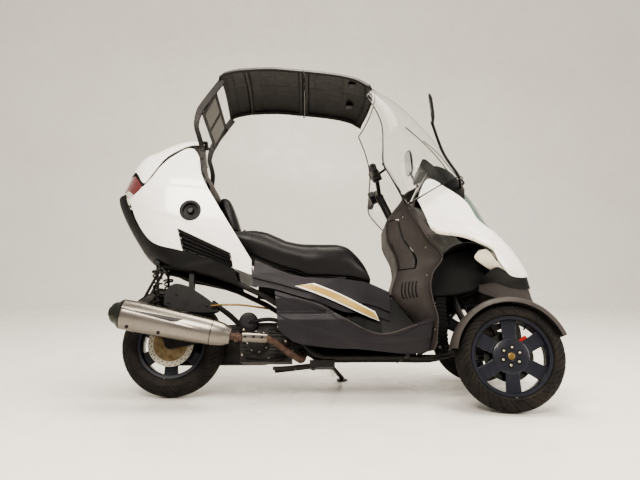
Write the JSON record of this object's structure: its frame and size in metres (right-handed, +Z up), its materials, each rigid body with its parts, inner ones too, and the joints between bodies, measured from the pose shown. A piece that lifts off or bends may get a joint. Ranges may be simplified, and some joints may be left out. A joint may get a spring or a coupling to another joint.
{
  "type": "three-wheel motor scooter with roof",
  "caption": "Leaning motor scooter with paired front wheels, windscreen, folding roof, stepped seat and rear trunk, parked on its side stand.",
  "frame": {"origin": "on the floor under the middle of the parked machine's bounding box", "axes": "+X towards the front wheels, +Y to the machine's left, +Z up; the machine leans 15 degrees to its left"},
  "size_m": [2.1486, 1.1131, 1.6674],
  "materials": {
    "bar_black": "satin black",
    "black_plastic": "matt black moulded plastic",
    "cast_engine": "dull cast aluminium with grime",
    "clear_screen": "clear sheet",
    "disc_steel": "worn disc steel",
    "exhaust_steel": "warm brushed steel",
    "fender_plastic": "warm grey moulded plastic",
    "frame_paint": "satin black paint with dust",
    "grey_plastic": "dark grey moulded plastic with a fine grain",
    "lamp_glass": "clear lamp cover with a green tint",
    "red_lens": "red lens",
    "rim_paint": "dark navy painted alloy",
    "roof_skin": "dark moulded roof shell",
    "seat_cover": "dark grey seat cover",
    "shock_paint": "black painted coil spring",
    "smoked_glass": "smoked sheet",
    "tyre_rubber": "black rubber",
    "white_paint": "pearl white gloss paint"
  },
  "bodies": {
    "body": {"frame": "frame_paint", "engine": "cast_engine", "swing_arm": "frame_paint", "rear_shocks": "shock_paint", "rear_mudguard": "black_plastic", "muffler": "exhaust_steel", "exhaust_pipe": "exhaust_steel", "air_box": "black_plastic", "tail_panels": "white_paint", "tail_trim": "black_plastic", "tail_lamps": "red_lens", "trunk_box": "black_plastic", "seat_bucket": "black_plastic", "backrest": "seat_cover", "stand_bracket": "frame_paint", "side_covers": "grey_plastic", "floor_boards": "black_plastic", "belly_pans": "grey_plastic", "leg_shield": "grey_plastic", "front_cowl": "white_paint", "cowl_top": "black_plastic", "headlamp": "lamp_glass", "chin": "grey_plastic", "arch_liners": "black_plastic", "radiator": "black_plastic", "windscreen": "clear_screen", "wiper": "black_plastic", "mirrors": "black_plastic", "roof_rear": "roof_skin", "roof_frame": "black_plastic", "rear_panes": "smoked_glass", "instrument_pod": "grey_plastic", "suspension_arms": "frame_paint"},
    "rear_wheel": {"rear_rim": "rim_paint", "rear_tyre": "tyre_rubber", "rear_disc": "disc_steel"},
    "wheel_right": {"front_rim_right": "rim_paint", "front_tyre_right": "tyre_rubber"},
    "wheel_left": {"front_rim_left": "rim_paint", "front_tyre_left": "tyre_rubber"},
    "knuckle_right": {"knuckle_right": "frame_paint", "fender_right": "fender_plastic"},
    "knuckle_left": {"knuckle_left": "frame_paint", "fender_left": "fender_plastic"},
    "handlebar": {"handlebar": "bar_black"},
    "seat": {"seat": "seat_cover"},
    "trunk_lid": {"trunk_lid": "white_paint"},
    "glove_lid": {"glove_lid": "grey_plastic"},
    "roof_front": {"roof_front": "roof_skin"},
    "side_stand": {"side_stand": "frame_paint"},
    "centre_stand": {"centre_stand": "frame_paint"}
  },
  "joints": [
    {"name": "rear_wheel_spin", "type": "hinge", "parent": "body", "child": "rear_wheel", "pos_m": [-0.7625, -0.13008, 0.24454], "axis": [0, 0.9659, -0.2588], "continuous": true},
    {"name": "front_wheel_spin_right", "type": "hinge", "parent": "knuckle_right", "child": "wheel_right", "pos_m": [0.80709, -0.44237, 0.23689], "axis": [0.0872, 0.9623, -0.2578], "continuous": true},
    {"name": "front_wheel_spin_left", "type": "hinge", "parent": "knuckle_left", "child": "wheel_left", "pos_m": [0.82191, 0.17817, 0.23706], "axis": [0.0872, 0.9623, -0.2578], "continuous": true},
    {"name": "steer", "type": "hinge", "parent": "body", "child": "handlebar", "pos_m": [0.25577, 0.085, 1.04719], "axis": [-0.4067, 0.2364, 0.8824], "range_deg": [-25, 35]},
    {"name": "steer_right", "type": "hinge", "parent": "body", "child": "knuckle_right", "pos_m": [0.8145, -0.36058, 0.21498], "axis": [0, 0.2588, 0.9659], "range_deg": [-25, 35]},
    {"name": "steer_left", "type": "hinge", "parent": "body", "child": "knuckle_left", "pos_m": [0.8145, 0.09638, 0.25898], "axis": [0, 0.2588, 0.9659], "range_deg": [-25, 35]},
    {"name": "seat_lift", "type": "hinge", "parent": "body", "child": "seat", "pos_m": [0.1875, -0.05636, 0.51967], "axis": [0, 0.9659, -0.2588], "range_deg": [0, 50]},
    {"name": "trunk_lid_lift", "type": "hinge", "parent": "body", "child": "trunk_lid", "pos_m": [-0.6425, 0.14604, 1.27502], "axis": [0, 0.9659, -0.2588], "range_deg": [0, 60]},
    {"name": "glove_lid_swing", "type": "hinge", "parent": "body", "child": "glove_lid", "pos_m": [0.3744, -0.15831, 0.74576], "axis": [-0.2303, 0.2519, 0.94], "range_deg": [0, 80]},
    {"name": "roof_fold", "type": "hinge", "parent": "body", "child": "roof_front", "pos_m": [-0.1225, 0.24316, 1.63749], "axis": [0, -0.9659, 0.2588], "range_deg": [0, 150]},
    {"name": "side_stand_swing", "type": "hinge", "parent": "body", "child": "side_stand", "pos_m": [-0.0175, -0.02599, 0.16161], "axis": [-0.17, 0.9425, 0.2878], "range_deg": [0, 120]},
    {"name": "centre_stand_swing", "type": "hinge", "parent": "body", "child": "centre_stand", "pos_m": [-0.0725, -0.15678, 0.14489], "axis": [0, -0.9659, 0.2588], "range_deg": [0, 80]}
  ],
  "couplings": [
    {"joint": "steer_right", "follows": "steer", "ratio": 1},
    {"joint": "steer_left", "follows": "steer", "ratio": 1}
  ]
}
